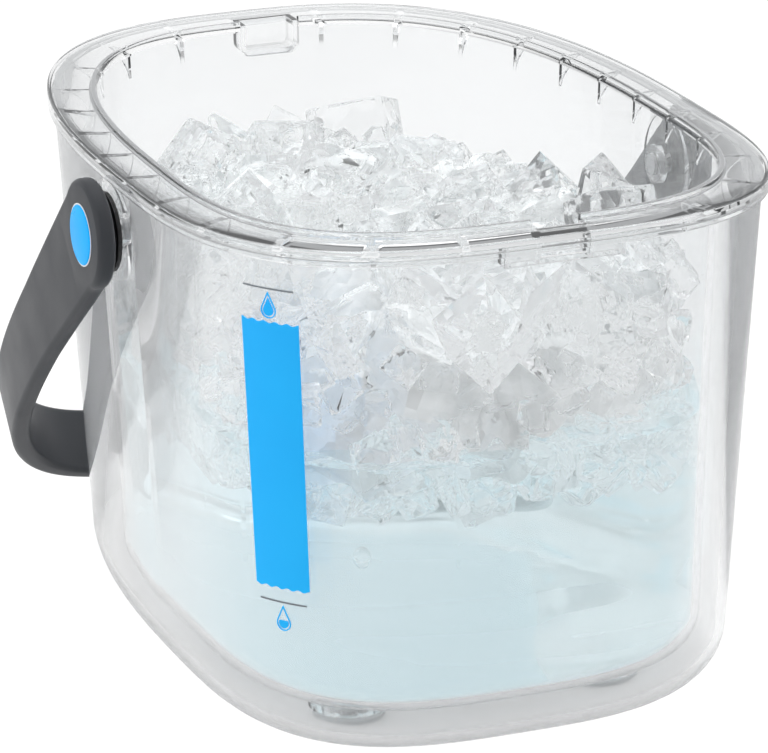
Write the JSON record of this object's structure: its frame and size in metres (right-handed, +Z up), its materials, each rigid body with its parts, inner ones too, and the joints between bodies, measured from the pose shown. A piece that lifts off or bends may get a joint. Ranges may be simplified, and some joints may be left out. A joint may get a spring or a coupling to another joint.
{
  "type": "hot cold therapy machine",
  "caption": "Open clear double-walled cold therapy reservoir with ice and water, a water level strip and a swinging carrying handle.",
  "frame": {"origin": "middle of the tank's flat underside, below the middle of the handle's span from side to side", "axes": "+Z up out of the open top, -Y towards the front, where the lid latches, X along the handle's pivot axis"},
  "size_m": [0.202, 0.2693, 0.1645],
  "materials": {
    "clear_shell": "clear moulded plastic, polished",
    "grey_plastic": "satin moulded plastic",
    "blue_plastic": "glossy moulded plastic",
    "white_plastic": "plain moulded plastic",
    "black_rubber": "matt",
    "grey_rubber": "matt",
    "pin_steel": "turned",
    "ice": "wet clear ice",
    "water": "still water",
    "blue_print": "printed film",
    "grey_print": "printed film"
  },
  "bodies": {
    "tank": {"outer_tank": "clear_shell", "inner_tank": "clear_shell", "rim_seal": "grey_rubber", "front_catch": "clear_shell", "rear_keeper": "clear_shell", "foot_1": "grey_rubber", "foot_2": "grey_rubber", "foot_3": "grey_rubber", "foot_4": "grey_rubber", "floor_spacer_1": "grey_rubber", "floor_spacer_2": "grey_rubber", "floor_spacer_3": "grey_rubber", "floor_spacer_4": "grey_rubber", "left_pin": "pin_steel", "right_pin": "pin_steel", "left_nut": "pin_steel", "right_nut": "pin_steel", "left_washer": "black_rubber", "right_washer": "black_rubber", "left_collar": "clear_shell", "right_collar": "clear_shell", "ice_heap": "ice", "water": "water", "level_strip": "blue_print", "upper_drop": "blue_print", "lower_drop": "blue_print", "upper_mark": "grey_print", "lower_mark": "grey_print"},
    "bail": {"handle": "grey_plastic", "left_cap": "blue_plastic", "right_cap": "blue_plastic", "left_bush": "white_plastic", "right_bush": "white_plastic"}
  },
  "joints": [
    {"name": "handle_swing", "type": "hinge", "parent": "tank", "child": "bail", "pos_m": [0, -0.0107, 0.1397], "axis": [1, 0, 0], "range_deg": [0, 264]}
  ]
}
